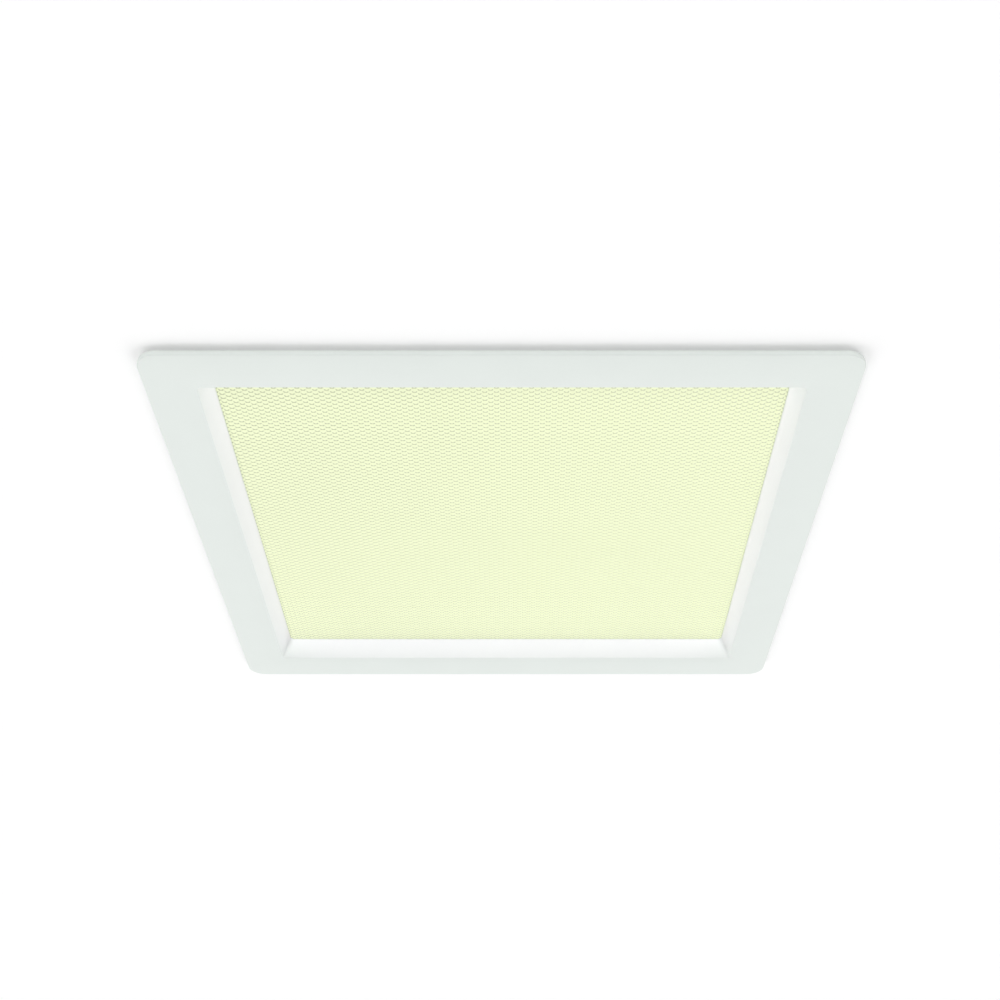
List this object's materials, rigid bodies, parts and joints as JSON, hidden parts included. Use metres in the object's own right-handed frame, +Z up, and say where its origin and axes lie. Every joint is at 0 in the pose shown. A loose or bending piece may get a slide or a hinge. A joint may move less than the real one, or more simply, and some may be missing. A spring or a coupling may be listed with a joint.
{
  "type": "recessed ceiling luminaire",
  "caption": "Square recessed LED ceiling luminaire with a white trim, a sunken micro-lens panel, finned back, driver box and spring clips.",
  "frame": {"origin": "centre of the ceiling cut-out on the ceiling's visible surface", "axes": "+Z up into the ceiling void, +X towards the driver box, +Y away from the cable inlet"},
  "size_m": [0.3574, 0.312, 0.0902],
  "materials": {
    "trim_white": "satin powder coat on die-cast aluminium",
    "gasket_foam": "closed-cell foam",
    "lens_acrylic": "acrylic with moulded micro-lenses, lit from behind",
    "diffuser": "matt film",
    "reflector_white": "matt white reflector",
    "board_white": "white solder mask",
    "led_phosphor": "phosphor",
    "connector_white": "moulded",
    "thermal_pad": "silicone pad",
    "housing_aluminium": "deep-drawn, as rolled",
    "sink_aluminium": "extruded, satin",
    "galvanised_steel": "zinc-coated sheet",
    "circuit_board": "solder mask",
    "ferrite_black": "ferrite and tape",
    "capacitor_sleeve": "shrink sleeve",
    "terminal_grey": "moulded polyamide",
    "button_brown": "moulded",
    "button_blue": "moulded",
    "button_green": "moulded",
    "grommet_rubber": "moulded rubber",
    "clamp_nylon": "natural nylon",
    "lid_plastic": "moulded, fine texture",
    "pin_steel": "drawn wire",
    "rivet_steel": "plated",
    "clip_steel": "zinc-plated pressing",
    "spring_steel": "drawn spring wire",
    "foot_nylon": "natural nylon",
    "screw_steel": "zinc-plated"
  },
  "bodies": {
    "root": {"back_housing": "housing_aluminium", "board_bridges": "connector_white", "cable_clamp": "clamp_nylon", "cable_grommet": "grommet_rubber", "cable_saddle": "clamp_nylon", "capacitors": "capacitor_sleeve", "ceiling_gasket": "gasket_foam", "choke": "ferrite_black", "clamp_screws": "screw_steel", "clip_bracket_1": "clip_steel", "clip_bracket_2": "clip_steel", "clip_bracket_3": "clip_steel", "clip_bracket_4": "clip_steel", "clip_pin_1": "pin_steel", "clip_pin_2": "pin_steel", "clip_pin_3": "pin_steel", "clip_pin_4": "pin_steel", "clip_rivets": "rivet_steel", "clip_spring_1": "spring_steel", "clip_spring_2": "spring_steel", "clip_spring_3": "spring_steel", "clip_spring_4": "spring_steel", "cover_screws": "screw_steel", "diffuser_film": "diffuser", "driver_cover": "galvanised_steel", "driver_pcb": "circuit_board", "driver_tray": "galvanised_steel", "earth_screw": "screw_steel", "frame_screws": "screw_steel", "heat_sink": "sink_aluminium", "heat_sink_screws": "screw_steel", "led_board_1": "board_white", "led_board_2": "board_white", "led_board_3": "board_white", "led_board_4": "board_white", "led_packages": "led_phosphor", "lens_plate": "lens_acrylic", "lid_pin": "pin_steel", "output_header": "connector_white", "pcb_standoffs": "connector_white", "reflector_tray": "reflector_white", "terminal_block": "terminal_grey", "thermal_pad": "thermal_pad", "transformer": "ferrite_black", "tray_screws": "screw_steel", "trim_frame": "trim_white"},
    "clip_1": {"clip_arm_1": "clip_steel", "clip_foot_1": "foot_nylon"},
    "clip_2": {"clip_arm_2": "clip_steel", "clip_foot_2": "foot_nylon"},
    "clip_3": {"clip_arm_3": "clip_steel", "clip_foot_3": "foot_nylon"},
    "clip_4": {"clip_arm_4": "clip_steel", "clip_foot_4": "foot_nylon"},
    "terminal_lid": {"terminal_lid": "lid_plastic"},
    "button_line": {"release_button_line": "button_brown"},
    "button_neutral": {"release_button_neutral": "button_blue"},
    "button_earth": {"release_button_earth": "button_green"}
  },
  "joints": [
    {"name": "clip_hinge_1", "type": "hinge", "parent": "root", "child": "clip_1", "pos_m": [0.141, 0.085, 0.036], "axis": [0, -1, 0], "range_deg": [0, 126], "stiffness_Nm_per_rad": 1, "deforming": ["clip_spring_1"]},
    {"name": "clip_hinge_2", "type": "hinge", "parent": "root", "child": "clip_2", "pos_m": [0.141, -0.085, 0.036], "axis": [0, -1, 0], "range_deg": [0, 126], "stiffness_Nm_per_rad": 1, "deforming": ["clip_spring_2"]},
    {"name": "clip_hinge_3", "type": "hinge", "parent": "root", "child": "clip_3", "pos_m": [-0.141, 0.085, 0.036], "axis": [0, 1, 0], "range_deg": [0, 126], "stiffness_Nm_per_rad": 1, "deforming": ["clip_spring_3"]},
    {"name": "clip_hinge_4", "type": "hinge", "parent": "root", "child": "clip_4", "pos_m": [-0.141, -0.085, 0.036], "axis": [0, 1, 0], "range_deg": [0, 126], "stiffness_Nm_per_rad": 1, "deforming": ["clip_spring_4"]},
    {"name": "lid_hinge", "type": "hinge", "parent": "root", "child": "terminal_lid", "pos_m": [0.085, -0.0505, 0.0842], "axis": [-1, 0, 0], "range_deg": [0, 110]},
    {"name": "button_press_line", "type": "slide", "parent": "root", "child": "button_line", "axis": [0, 0, -1], "range_m": [0, 0.0015], "stiffness_N_per_m": 400},
    {"name": "button_press_neutral", "type": "slide", "parent": "root", "child": "button_neutral", "axis": [0, 0, -1], "range_m": [0, 0.0015], "stiffness_N_per_m": 400},
    {"name": "button_press_earth", "type": "slide", "parent": "root", "child": "button_earth", "axis": [0, 0, -1], "range_m": [0, 0.0015], "stiffness_N_per_m": 400}
  ]
}
